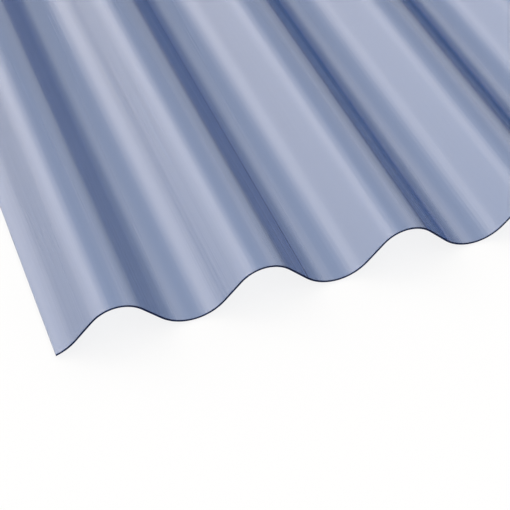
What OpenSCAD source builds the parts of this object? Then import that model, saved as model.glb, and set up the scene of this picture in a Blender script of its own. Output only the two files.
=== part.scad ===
// Corrugated plastic sheet, lying flat with its waves running along Y.
// Millimetres, +Z up. The origin is under the middle of the sheet, on the plane it rests on.

/* [Sheet] */
// Length of the sheet, along its waves
sheet_length = 2000; // [300:10:6000]
// Width of the sheet, across its waves
sheet_width = 900; // [160:1:1200]
// Thickness of the plastic
sheet_thickness = 1; // [0.5:0.1:2]

/* [Waves] */
// Distance from one crest to the next
wave_pitch = 76; // [72:1:150]
// Overall height of the waves, from under a trough to the top of a crest
wave_height = 22; // [12:0.5:26]
// Radius of the bend over a crest, at mid-thickness
crest_radius = 18; // [8:0.5:21]
// Radius of the bend in a trough, at mid-thickness
trough_radius = 23; // [10:0.5:26]
// Flat strips in each half of a bend
bend_strips = 8; // [4:1:24]

/* [Hidden] */

// Heights of the mid-surface in a trough and on a crest
trough_z = sheet_thickness / 2;
crest_z = wave_height - sheet_thickness / 2;

// Each flank is the straight line that touches a crest's circle above and a trough's circle below
half_pitch = wave_pitch / 2;
radius_sum = crest_radius + trough_radius;
centre_rise = trough_z + trough_radius - (crest_z - crest_radius);
flank_angle = atan2(half_pitch, centre_rise) - acos(radius_sum / norm([half_pitch, centre_rise]));

// Turn between neighbouring strips of a bend
strip_turn = flank_angle / bend_strips;

// Waves on each side of the middle trough, enough to reach past both long edges
side_waves = ceil(sheet_width / 2 / wave_pitch);

// Turns from level at the folds of a bend, halfway between its strips
fold_angles = [for (i = [-bend_strips : bend_strips - 1]) (i + 0.5) * strip_turn];

// Folds of one bend, from left to right, at a distance above its mid-surface. Every strip lies on the
// bend's circle, so its folds stand a little outside the circle.
function crest_folds(x, above) = [
    for (turn = fold_angles)
    [x, crest_z - crest_radius] + (crest_radius + above) / cos(strip_turn / 2) * [sin(turn), cos(turn)]
];
function trough_folds(x, above) = [
    for (turn = fold_angles)
    [x, trough_z + trough_radius] + (trough_radius - above) / cos(strip_turn / 2) * [sin(turn), -cos(turn)]
];

// One face of the waves, from left to right, at a distance above the mid-surface
function wave_line(above) = [
    for (i = [-side_waves : side_waves], bend = [0, 1])
    if (bend == 0 || i < side_waves)
    each (bend == 0 ? trough_folds(i * wave_pitch, above) : crest_folds((i + 0.5) * wave_pitch, above))
];

function reversed(points) = [for (i = [len(points) - 1 : -1 : 0]) points[i]];

// Section across the waves, trimmed square at both long edges
module section() {
    intersection() {
        polygon(concat(wave_line(-sheet_thickness / 2), reversed(wave_line(sheet_thickness / 2))));
        translate([-sheet_width / 2, -sheet_thickness])
            square([sheet_width, wave_height + 2 * sheet_thickness]);
    }
}

module corrugated_sheet() {
    color([0.56, 0.61, 0.73])
    rotate([90, 0, 0])
    linear_extrude(height = sheet_length, center = true)
        section();
}

corrugated_sheet();
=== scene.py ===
import math

import bpy
from mathutils import Matrix, Vector


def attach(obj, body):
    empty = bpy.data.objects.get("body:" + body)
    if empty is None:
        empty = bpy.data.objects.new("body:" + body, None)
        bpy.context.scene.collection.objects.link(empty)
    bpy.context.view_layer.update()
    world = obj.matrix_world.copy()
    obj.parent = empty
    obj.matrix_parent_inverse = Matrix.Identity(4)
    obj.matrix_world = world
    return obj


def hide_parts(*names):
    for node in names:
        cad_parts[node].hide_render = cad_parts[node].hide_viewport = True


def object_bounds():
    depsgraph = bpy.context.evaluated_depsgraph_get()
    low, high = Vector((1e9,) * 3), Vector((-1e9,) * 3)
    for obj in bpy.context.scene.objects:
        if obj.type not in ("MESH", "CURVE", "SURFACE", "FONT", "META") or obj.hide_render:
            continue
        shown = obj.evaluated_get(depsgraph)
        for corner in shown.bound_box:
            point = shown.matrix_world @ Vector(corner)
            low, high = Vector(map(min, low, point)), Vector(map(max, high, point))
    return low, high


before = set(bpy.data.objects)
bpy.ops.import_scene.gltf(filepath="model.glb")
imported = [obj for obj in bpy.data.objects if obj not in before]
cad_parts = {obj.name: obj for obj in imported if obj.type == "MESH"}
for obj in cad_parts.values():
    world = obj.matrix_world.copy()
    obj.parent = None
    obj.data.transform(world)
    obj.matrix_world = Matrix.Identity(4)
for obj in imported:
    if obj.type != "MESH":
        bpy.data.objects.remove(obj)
cad_low, cad_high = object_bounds()

NODE = "corrugated_sheet"

# Sizes of the sheet, in metres. Its width, length and wave height come from its CAD box.
WAVE_PITCH = 0.076
THICKNESS = 0.001
CREST_RADIUS = 0.018
TROUGH_RADIUS = 0.023

# Points across the width, about 65 to a wave, and along the length. The outermost ones lie in the cuts, and
# the ones next to them stand this far inside.
COLUMNS = 769
ROWS = 43
CUT_MARGIN = 0.0003

# The studio: half the floor's width and its gap under the sheet, how white it is and how much of that it
# shows whatever falls on it, and the strength of the light from all around
FLOOR_HALF = 40.0
FLOOR_GAP = 0.0003
FLOOR_WHITE = 0.985
FLOOR_GLOW = 0.85
ROOM_LIGHT = 0.87

# The lamps are a little warm. They stand this far from the middle of the view, and their light is even
# within the margin of it.
LAMP_COLOR = (1.0, 0.91, 0.825)
LAMP_DISTANCE = 4.0
LAMP_MARGIN = 0.9

# The camera's place from the near left corner of the sheet, its lens and sensor in millimetres, and how many
# degrees it is turned left from +Y, tipped down and rolled
CAMERA_PLACE = (-0.0691, -0.5171, 0.5167)
CAMERA_LENS = 106.6
CAMERA_SENSOR = 36.0
CAMERA_TURN = -18.40
CAMERA_DOWN = 41.68
CAMERA_ROLL = -2.42


# ---------------------------------------------------------------- nodes


def add_node(tree, kind, inputs=(), **settings):
    """A new node with these properties, its inputs linked or set by name or number."""
    made = tree.nodes.new(kind)
    for name, value in settings.items():
        setattr(made, name, value)
    for key, value in dict(inputs).items():
        if isinstance(value, bpy.types.NodeSocket):
            tree.links.new(value, made.inputs[key])
        else:
            made.inputs[key].default_value = value
    return made


def calc(tree, operation, *values):
    """The result of one Math node."""
    return add_node(tree, "ShaderNodeMath", enumerate(values), operation=operation).outputs[0]


def new_group(name, kind, inputs, outputs):
    """An empty node group with these sockets. Returns the group and its inputs."""
    group = bpy.data.node_groups.new(name, kind)
    for direction, sockets in (("INPUT", inputs), ("OUTPUT", outputs)):
        for socket, socket_kind in sockets.items():
            group.interface.new_socket(socket, in_out=direction, socket_type=socket_kind)
    return group, group.nodes.new("NodeGroupInput").outputs


def end_group(group, **results):
    """Links the results to the group's outputs, named with _ for a space."""
    end = group.nodes.new("NodeGroupOutput")
    for name, socket in results.items():
        group.links.new(socket, end.inputs[name.replace("_", " ")])


# ---------------------------------------------------------------- shape of the sheet

WAVE_SIZES = {
    "Thickness": "NodeSocketFloat",
    "Wave Height": "NodeSocketFloat",
    "Wave Pitch": "NodeSocketFloat",
    "Crest Radius": "NodeSocketFloat",
    "Trough Radius": "NodeSocketFloat",
}


def wave_face_group():
    """Height of one face of the waves at X: an arc over each crest and in each trough, and between them the
    straight line that touches both. Above is the face's distance above the middle of the plastic."""
    group, given = new_group(
        "wave_face",
        "GeometryNodeTree",
        {"X": "NodeSocketFloat", "Above": "NodeSocketFloat", **WAVE_SIZES},
        {"Height": "NodeSocketFloat"},
    )

    def add(a, b):
        return calc(group, "ADD", a, b)

    def subtract(a, b):
        return calc(group, "SUBTRACT", a, b)

    def multiply(a, b):
        return calc(group, "MULTIPLY", a, b)

    half_pitch = multiply(given["Wave Pitch"], 0.5)
    crest_radius = add(given["Crest Radius"], given["Above"])
    trough_radius = subtract(given["Trough Radius"], given["Above"])

    # The flank's lean: the line between the centres of the two bends, less the angle that their radii take up
    radius_sum = add(crest_radius, trough_radius)
    centre_rise = subtract(radius_sum, subtract(given["Wave Height"], given["Thickness"]))
    centre_gap = calc(
        group, "SQRT", add(multiply(half_pitch, half_pitch), multiply(centre_rise, centre_rise))
    )
    radius_angle = calc(group, "ARCCOSINE", calc(group, "DIVIDE", radius_sum, centre_gap))
    flank_angle = subtract(calc(group, "ARCTAN2", half_pitch, centre_rise), radius_angle)

    def turn(distance, radius):
        """How far a bend has turned from level at this distance from its middle."""
        share = calc(group, "MINIMUM", calc(group, "DIVIDE", distance, radius), 1.0)
        return calc(group, "MINIMUM", calc(group, "ARCSINE", share), flank_angle)

    from_trough = calc(group, "PINGPONG", given["X"], half_pitch)
    trough_cosine = calc(group, "COSINE", turn(from_trough, trough_radius))
    crest_cosine = calc(group, "COSINE", turn(subtract(half_pitch, from_trough), crest_radius))
    trough_gain = multiply(trough_radius, subtract(1.0, trough_cosine))
    crest_gain = multiply(crest_radius, subtract(crest_cosine, calc(group, "COSINE", flank_angle)))

    flank_sine = calc(group, "SINE", flank_angle)
    flank_start = multiply(trough_radius, flank_sine)
    flank_end = subtract(half_pitch, multiply(crest_radius, flank_sine))
    reached = calc(group, "MINIMUM", calc(group, "MAXIMUM", from_trough, flank_start), flank_end)
    flank_gain = multiply(subtract(reached, flank_start), calc(group, "TANGENT", flank_angle))

    bottom = add(multiply(given["Thickness"], 0.5), given["Above"])
    end_group(group, Height=add(add(bottom, flank_gain), add(trough_gain, crest_gain)))
    return group


def corrugation_group():
    """A corrugated sheet: a flat grid gets a wall, both its faces are bent into waves, and its cuts get
    finishes of their own."""
    group, given = new_group(
        "corrugation",
        "GeometryNodeTree",
        {
            "Width": "NodeSocketFloat",
            "Length": "NodeSocketFloat",
            **WAVE_SIZES,
            "Columns": "NodeSocketInt",
            "Rows": "NodeSocketInt",
            "Cut Margin": "NodeSocketFloat",
            "Face Finish": "NodeSocketMaterial",
            "End Finish": "NodeSocketMaterial",
            "Long Edge Finish": "NodeSocketMaterial",
        },
        {"Sheet": "NodeSocketGeometry"},
    )
    wave_face = wave_face_group()
    place = add_node(
        group, "ShaderNodeSeparateXYZ", {0: group.nodes.new("GeometryNodeInputPosition").outputs[0]}
    ).outputs

    def bent(mesh, side, picked=True):
        """The mesh with its picked points on the waves' upper face, side 0.5, or lower face, side -0.5."""
        height = add_node(
            group,
            "GeometryNodeGroup",
            {
                "X": place["X"],
                "Above": calc(group, "MULTIPLY", given["Thickness"], side),
                **{name: given[name] for name in WAVE_SIZES},
            },
            node_tree=wave_face,
        ).outputs["Height"]
        point = add_node(
            group, "ShaderNodeCombineXYZ", {"X": place["X"], "Y": place["Y"], "Z": height}
        ).outputs[0]
        return add_node(
            group,
            "GeometryNodeSetPosition",
            {"Geometry": mesh, "Selection": picked, "Position": point},
        ).outputs[0]

    flat = add_node(
        group,
        "GeometryNodeMeshGrid",
        {
            "Size X": given["Width"],
            "Size Y": given["Length"],
            "Vertices X": given["Columns"],
            "Vertices Y": given["Rows"],
        },
    ).outputs["Mesh"]

    def spaced(coordinate, size, count):
        """The points' places along one axis: the outermost stay, and the rest spread to near the cuts."""
        step = calc(group, "DIVIDE", given[size], calc(group, "SUBTRACT", given[count], 1.0))
        inner_edge = calc(group, "SUBTRACT", given[size], step)
        half_inner = calc(group, "MULTIPLY", inner_edge, 0.5)
        outermost = calc(group, "GREATER_THAN", calc(group, "ABSOLUTE", coordinate), half_inner)
        wanted = calc(group, "MULTIPLY_ADD", given["Cut Margin"], -2.0, given[size])
        spread = calc(group, "DIVIDE", wanted, calc(group, "SUBTRACT", inner_edge, step))
        scale = calc(group, "MULTIPLY_ADD", outermost, calc(group, "SUBTRACT", 1.0, spread), spread)
        return calc(group, "MULTIPLY", coordinate, scale)

    grid_point = add_node(
        group,
        "ShaderNodeCombineXYZ",
        {"X": spaced(place["X"], "Width", "Columns"), "Y": spaced(place["Y"], "Length", "Rows")},
    ).outputs[0]
    flat = add_node(group, "GeometryNodeSetPosition", {"Geometry": flat, "Position": grid_point}).outputs[0]

    # The bottom face, and a copy of it drawn up into the wall and the top face
    underside = bent(flat, -0.5)
    walled = add_node(
        group,
        "GeometryNodeExtrudeMesh",
        {"Mesh": underside, "Offset Scale": 0.0, "Individual": False},
        mode="FACES",
    ).outputs
    bottom = add_node(group, "GeometryNodeFlipFaces", {"Mesh": underside}).outputs[0]
    joined = add_node(group, "GeometryNodeJoinGeometry")
    for part in (bottom, bent(walled["Mesh"], 0.5, walled["Top"])):
        group.links.new(part, joined.inputs[0])
    closed = add_node(
        group, "GeometryNodeMergeByDistance", {"Geometry": joined.outputs[0], "Distance": 1e-6}
    ).outputs[0]

    def on_cut(coordinate, size):
        """Picks the faces that lie in the cuts at both ends of one axis."""
        nearly = calc(group, "MULTIPLY_ADD", given["Cut Margin"], -0.5, given[size])
        doubled = calc(group, "MULTIPLY", calc(group, "ABSOLUTE", coordinate), 2.0)
        return calc(group, "GREATER_THAN", doubled, nearly)

    at_end = on_cut(place["Y"], "Length")
    at_long_edge = on_cut(place["X"], "Width")
    rounded = calc(group, "SUBTRACT", 1.0, calc(group, "MAXIMUM", at_end, at_long_edge))
    smooth = add_node(
        group, "GeometryNodeSetShadeSmooth", {"Geometry": closed, "Shade Smooth": rounded}
    ).outputs[0]

    sheet = add_node(group, "GeometryNodeRealizeInstances", {0: smooth}).outputs[0]
    for finish, picked in (
        ("Face Finish", True),
        ("Long Edge Finish", at_long_edge),
        ("End Finish", at_end),
    ):
        sheet = add_node(
            group,
            "GeometryNodeSetMaterial",
            {"Geometry": sheet, "Selection": picked, "Material": given[finish]},
        ).outputs[0]
    end_group(group, Sheet=sheet)
    return group


def mesh_from_group(name, group, **values):
    """A plain mesh object made by the group with these input values, named with _ for a space."""
    maker = bpy.data.objects.new(name, bpy.data.meshes.new(name))
    bpy.context.scene.collection.objects.link(maker)
    modifier = maker.modifiers.new(name, "NODES")
    modifier.node_group = group
    sockets = {
        item.name: item.identifier
        for item in group.interface.items_tree
        if item.item_type == "SOCKET" and item.in_out == "INPUT"
    }
    for key, value in values.items():
        modifier[sockets[key.replace("_", " ")]] = value
    evaluated = maker.evaluated_get(bpy.context.evaluated_depsgraph_get())
    mesh = bpy.data.meshes.new_from_object(evaluated)
    while mesh.materials[0] is None:
        mesh.materials.pop(index=0)
    maker.modifiers.remove(modifier)
    maker.data = mesh
    mesh.name = name
    return maker


# ---------------------------------------------------------------- finishes

# The Mix node's colour sockets, which share their names with its sockets for numbers
MIX_LOW = 6
MIX_HIGH = 7
MIX_RESULT = 2


def reach(tree, value, low, high):
    """The value stretched from low and high to 0 and 1, with soft ends."""
    return add_node(
        tree,
        "ShaderNodeMapRange",
        {"Value": value, "From Min": low, "From Max": high},
        interpolation_type="SMOOTHSTEP",
    ).outputs[0]


def drawn_marks_group():
    """Marks drawn out along Y by a die, a slitting knife or a saw: fine lines, a few deeper ones that come
    and go, and broad bands between them. Spacing is the distance between the lines, and Draw is how many
    times longer than wide they are."""
    group, given = new_group(
        "drawn_marks",
        "ShaderNodeTree",
        {"Place": "NodeSocketVector", "Spacing": "NodeSocketFloat", "Draw": "NodeSocketFloat"},
        {"Lines": "NodeSocketFloat", "Deep Lines": "NodeSocketFloat", "Bands": "NodeSocketFloat"},
    )
    across = calc(group, "DIVIDE", 1.0, given["Spacing"])
    along = calc(group, "DIVIDE", across, given["Draw"])
    scale = add_node(group, "ShaderNodeCombineXYZ", {"X": across, "Y": along, "Z": across}).outputs[0]
    drawn = add_node(
        group, "ShaderNodeVectorMath", {0: given["Place"], 1: scale}, operation="MULTIPLY"
    ).outputs[0]

    def noise(scale, detail):
        """Soft noise, drawn out along Y. A scale of 1 gives it the lines' spacing, and a smaller one more."""
        return add_node(
            group,
            "ShaderNodeTexNoise",
            {"Vector": drawn, "Scale": scale, "Detail": detail, "Roughness": 0.55},
        ).outputs[0]

    end_group(
        group,
        Lines=reach(group, noise(scale=1.0, detail=3.0), low=0.3, high=0.7),
        Deep_Lines=reach(group, noise(scale=0.35, detail=1.0), low=0.70, high=0.76),
        Bands=reach(group, noise(scale=0.06, detail=2.0), low=0.35, high=0.65),
    )
    return group


DRAWN_MARKS = drawn_marks_group()


def new_finish(name):
    """A new material, with its node tree and its surface."""
    material = bpy.data.materials.new(name)
    material.use_nodes = True
    tree = material.node_tree
    surface = tree.nodes["Principled BSDF"]
    return material, tree, surface


def drawn_marks(tree, spacing, draw, turn=(0.0, 0.0, 0.0)):
    """The group's marks on this finish. The turn takes the piece's own directions to the group's."""
    place = tree.nodes.new("ShaderNodeTexCoord").outputs["Object"]
    if any(turn):
        place = add_node(tree, "ShaderNodeMapping", {"Vector": place, "Rotation": turn}).outputs[0]
    return add_node(
        tree,
        "ShaderNodeGroup",
        {"Place": place, "Spacing": spacing, "Draw": draw},
        node_tree=DRAWN_MARKS,
    ).outputs


def blend(tree, factor, low, high):
    """The factor's way from low to high."""
    return calc(tree, "MULTIPLY_ADD", factor, high - low, low)


def tint(tree, factor, low, high):
    """A colour part of the way from low, a colour or a socket, to high."""
    if not isinstance(low, bpy.types.NodeSocket):
        low = (*low, 1)
    mix = add_node(
        tree, "ShaderNodeMix", {"Factor": factor, MIX_LOW: low, MIX_HIGH: (*high, 1)}, data_type="RGBA"
    )
    return mix.outputs[MIX_RESULT]


def dent(tree, height, depth):
    """The normal of a surface that stands out by the height times the depth, in metres."""
    return add_node(tree, "ShaderNodeBump", {"Height": height, "Distance": depth}).outputs[0]


# The plastic's tint in its depth, on its face in the two kinds of band, and its painted shade at a slant
DEPTH_TINT = (0.105, 0.260, 0.560)
BAND_TINTS = (0.785, 0.845, 0.91), (0.815, 0.865, 0.92)
PAINTED_SLANT_SHADE = (0.03, 0.22, 0.74)

# Its roughness in the two kinds of band, what a line adds, and what a slant takes off. The bands and lines
# stay above 0.275, because the renderer's denoiser turns finely marked plastic that is glossier into grain.
BAND_ROUGHNESS = 0.276, 0.286
LINE_ROUGHNESS = 0.012
SLANT_ROUGHNESS = -0.15

# Slants, from 0 face on to 1 edge on, over which the painted shade and the gloss come up
PAINTED_SHADE_SLANTS = 0.54, 0.82
GLOSS_SLANTS = 0.38, 0.8


def tinted_pvc():
    """Clear blue-grey plastic. Most of its tint lies in its depth. Seen at a slant it is glossier, and a
    painted navy shade darkens it there. The die has left faint lines along the sheet, between duller and
    glossier bands."""
    material, tree, surface = new_finish("tinted_pvc")
    marks = drawn_marks(tree, spacing=0.0015, draw=1000.0)
    slant = add_node(tree, "ShaderNodeLayerWeight", {"Blend": 0.5}).outputs["Facing"]

    color = tint(tree, marks["Bands"], *BAND_TINTS)
    # Painted shade: at a slant the face's colour turns navy, standing in for the shade along the steep flanks
    color = tint(tree, reach(tree, slant, *PAINTED_SHADE_SLANTS), color, PAINTED_SLANT_SHADE)
    tree.links.new(color, surface.inputs["Base Color"])

    rough = blend(tree, marks["Bands"], *BAND_ROUGHNESS)
    rough = calc(tree, "MULTIPLY_ADD", marks["Lines"], LINE_ROUGHNESS, rough)
    rough = calc(tree, "MULTIPLY_ADD", reach(tree, slant, *GLOSS_SLANTS), SLANT_ROUGHNESS, rough)
    tree.links.new(rough, surface.inputs["Roughness"])

    height = calc(tree, "MULTIPLY_ADD", marks["Deep Lines"], 1.5, marks["Lines"])
    tree.links.new(dent(tree, height, depth=0.00003), surface.inputs["Normal"])

    surface.inputs["Transmission Weight"].default_value = 1.0
    surface.inputs["IOR"].default_value = 1.54
    inside = add_node(
        tree, "ShaderNodeVolumeAbsorption", {"Color": (*DEPTH_TINT, 1), "Density": 1100.0}
    ).outputs[0]
    tree.links.new(inside, tree.nodes["Material Output"].inputs["Volume"])
    return material


# The sawn ends' tint in the two kinds of band and in a deep scratch, and the slit edges' tint between the
# knife's lines and in them
SAWN_TINTS = (0.001, 0.007, 0.040), (0.002, 0.011, 0.058)
SCRATCH_TINT = (0.02, 0.035, 0.09)
SLIT_TINTS = (0.27, 0.25, 0.26), (0.42, 0.39, 0.40)


def sawn_end():
    """The end that a fine saw has cut across the waves: light crosses so much plastic there that it looks
    navy. The teeth have left upright scratches."""
    material, tree, surface = new_finish("sawn_end")
    upright = (math.radians(90), 0.0, 0.0)
    marks = drawn_marks(tree, spacing=0.00025, draw=12.0, turn=upright)
    color = tint(tree, marks["Bands"], *SAWN_TINTS)
    color = tint(tree, calc(tree, "MULTIPLY", marks["Deep Lines"], 0.5), color, SCRATCH_TINT)
    tree.links.new(color, surface.inputs["Base Color"])
    tree.links.new(blend(tree, marks["Lines"], low=0.36, high=0.56), surface.inputs["Roughness"])
    tree.links.new(dent(tree, marks["Lines"], depth=0.00002), surface.inputs["Normal"])
    surface.inputs["Specular IOR Level"].default_value = 0.1
    return material


def slit_edge():
    """The long edge, slit to width with a knife that has left whitened lines along it."""
    material, tree, surface = new_finish("slit_edge")
    marks = drawn_marks(tree, spacing=0.0003, draw=60.0)
    tree.links.new(tint(tree, marks["Lines"], *SLIT_TINTS), surface.inputs["Base Color"])
    tree.links.new(blend(tree, marks["Lines"], low=0.34, high=0.5), surface.inputs["Roughness"])
    tree.links.new(dent(tree, marks["Lines"], depth=0.00003), surface.inputs["Normal"])
    return material


# ---------------------------------------------------------------- the sheet

sheet = mesh_from_group(
    "pvc_sheet",
    corrugation_group(),
    Width=cad_high.x - cad_low.x,
    Length=cad_high.y - cad_low.y,
    Thickness=THICKNESS,
    Wave_Height=cad_high.z - cad_low.z,
    Wave_Pitch=WAVE_PITCH,
    Crest_Radius=CREST_RADIUS,
    Trough_Radius=TROUGH_RADIUS,
    Columns=COLUMNS,
    Rows=ROWS,
    Cut_Margin=CUT_MARGIN,
    Face_Finish=tinted_pvc(),
    End_Finish=sawn_end(),
    Long_Edge_Finish=slit_edge(),
)
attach(sheet, "root")
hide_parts(NODE)

# ---------------------------------------------------------------- floor and light

# The corner of the sheet nearest the camera, and the middle of what the camera sees
near_left = Vector((cad_low.x, cad_low.y, cad_low.z))
middle_of_view = near_left + Vector((0.15, 0.15, 0.01))


def floor():
    """A matt white floor. Seen by the camera, in the gloss or through the plastic, it glows as well, so
    shadows on it stay faint."""
    mesh = bpy.data.meshes.new("floor")
    half = FLOOR_HALF
    z = cad_low.z - FLOOR_GAP
    corners = [(-half, -half, z), (half, -half, z), (half, half, z), (-half, half, z)]
    mesh.from_pydata(corners, [], [(0, 1, 2, 3)])
    plane = bpy.data.objects.new("floor", mesh)
    bpy.context.scene.collection.objects.link(plane)
    material, tree, surface = new_finish("floor")
    surface.inputs["Base Color"].default_value = (0.9, 0.9, 0.9, 1)
    surface.inputs["Roughness"].default_value = 1.0
    surface.inputs["Specular IOR Level"].default_value = 0.0
    ray = tree.nodes.new("ShaderNodeLightPath").outputs
    seen = calc(tree, "MAXIMUM", ray["Is Camera Ray"], ray["Is Glossy Ray"])
    seen = calc(tree, "MAXIMUM", seen, ray["Is Transmission Ray"])
    glow = calc(tree, "MULTIPLY", seen, FLOOR_GLOW)
    white = add_node(tree, "ShaderNodeEmission", {"Color": (1, 1, 1, 1), "Strength": FLOOR_WHITE}).outputs[0]
    mixed = add_node(tree, "ShaderNodeMixShader", {0: glow, 1: surface.outputs[0], 2: white}).outputs[0]
    tree.links.new(mixed, tree.nodes["Material Output"].inputs["Surface"])
    mesh.materials.append(material)


def room():
    """Even white light from all around."""
    world = bpy.data.worlds.new("room")
    world.use_nodes = True
    background = world.node_tree.nodes["Background"].inputs
    background["Color"].default_value = (1, 1, 1, 1)
    background["Strength"].default_value = ROOM_LIGHT
    bpy.context.scene.world = world


def direction(azimuth, elevation):
    """The unit vector at this azimuth, from +Y towards +X, and elevation, in degrees."""
    around = math.radians(azimuth)
    up = math.radians(elevation)
    return Vector((math.sin(around) * math.cos(up), math.cos(around) * math.cos(up), math.sin(up)))


def soft_box(name, azimuth, elevation, half_angle, peak):
    """A lamp behind a deep grid: as bright as its peak along its own direction, and fading out to nothing at
    the half angle. Its panel is wide enough to look the same from every point within the margin of the
    middle of the view."""
    half = math.radians(half_angle)
    size = 2 * (LAMP_DISTANCE * math.tan(half) + LAMP_MARGIN)
    lamp = bpy.data.lights.new(name, "AREA")
    lamp.shape = "DISK"
    lamp.size = size
    lamp.spread = 2 * half
    lamp.color = LAMP_COLOR
    # The grid keeps the lamp's energy, and so makes its middle this much brighter
    grid_gain = math.tan(half) / (math.tan(half) - half)
    panel_area = math.pi * size * size / 4
    lamp.energy = peak / grid_gain * math.pi * panel_area
    box = bpy.data.objects.new(name, lamp)
    towards = direction(azimuth, elevation)
    box.location = middle_of_view + towards * LAMP_DISTANCE
    box.rotation_euler = towards.to_track_quat("Z", "Y").to_euler()
    box.visible_camera = False
    bpy.context.scene.collection.objects.link(box)


floor()
room()
soft_box("key_light", azimuth=-24, elevation=25, half_angle=24, peak=4.25)
soft_box("left_light", azimuth=-44, elevation=14, half_angle=16, peak=3.1)
soft_box("back_light", azimuth=-34, elevation=46, half_angle=22, peak=4.1)
soft_box("right_light", azimuth=49, elevation=35, half_angle=21, peak=2.8)

# ---------------------------------------------------------------- camera


def camera():
    """The camera, above the sheet's near left corner."""
    data = bpy.data.cameras.new("camera")
    data.lens = CAMERA_LENS
    data.sensor_width = CAMERA_SENSOR
    data.clip_end = 100.0
    cam = bpy.data.objects.new("camera", data)
    place = near_left + Vector(CAMERA_PLACE)
    turn = (
        Matrix.Rotation(math.radians(CAMERA_TURN), 4, "Z")
        @ Matrix.Rotation(math.radians(90 - CAMERA_DOWN), 4, "X")
        @ Matrix.Rotation(math.radians(CAMERA_ROLL), 4, "Z")
    )
    cam.matrix_world = Matrix.Translation(place) @ turn
    bpy.context.scene.collection.objects.link(cam)
    bpy.context.scene.camera = cam


camera()
bpy.context.scene.view_settings.view_transform = "Standard"
